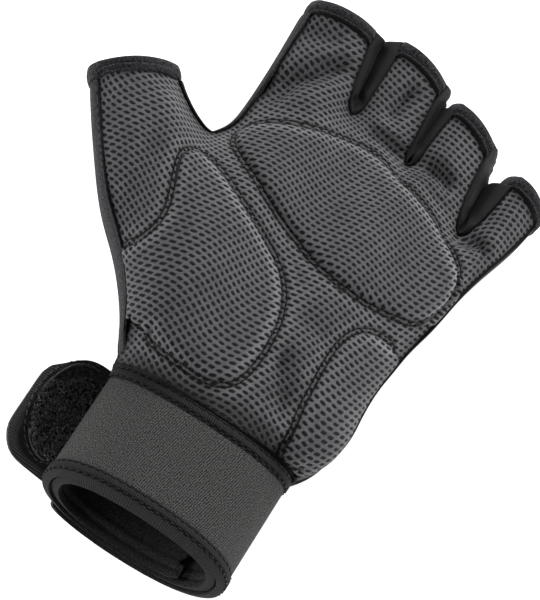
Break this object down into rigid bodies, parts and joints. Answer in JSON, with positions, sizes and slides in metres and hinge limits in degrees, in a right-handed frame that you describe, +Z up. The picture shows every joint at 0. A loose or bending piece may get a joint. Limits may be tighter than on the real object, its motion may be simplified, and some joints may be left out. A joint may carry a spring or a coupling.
{
  "type": "weightlifting glove",
  "caption": "Fingerless left-hand weightlifting glove with padded grip-leather palm, knit hems and a wound elastic wrist strap, lying on its back.",
  "frame": {"origin": "middle of the underside of the glove's bounding box, on the surface that the back of the hand rests on", "axes": "+Y from the wrist to the fingertips, +Z up out of the palm, -X toward the thumb"},
  "size_m": [0.1572, 0.2, 0.0492],
  "materials": {
    "grip_leather": "matte synthetic leather embossed with small dark lozenges",
    "stretch_fabric": "matte fine ribbed stretch knit",
    "melange_knit": "matte dark grey melange jersey",
    "woven_elastic": "matte dark heather woven elastic",
    "twill_tape": "matte black twill binding tape",
    "hook_tape": "fuzzy black hook-and-loop"
  },
  "bodies": {
    "root": {"palm_panel": "grip_leather", "thenar_pad": "grip_leather", "metacarpal_pad": "grip_leather", "hypothenar_pad": "grip_leather", "back_panel": "stretch_fabric", "little_gusset": "stretch_fabric", "cuff": "stretch_fabric", "index_middle_fourchette": "stretch_fabric", "middle_ring_fourchette": "stretch_fabric", "ring_little_fourchette": "stretch_fabric", "thumb_gusset": "melange_knit", "index_gusset": "melange_knit", "index_hem": "melange_knit", "middle_hem": "melange_knit", "ring_hem": "melange_knit", "little_hem": "melange_knit", "thumb_hem": "melange_knit", "wrist_strap": "woven_elastic", "strap_tab": "woven_elastic", "strap_upper_binding": "twill_tape", "strap_lower_binding": "twill_tape", "hook_patch": "hook_tape"}
  },
  "joints": []
}
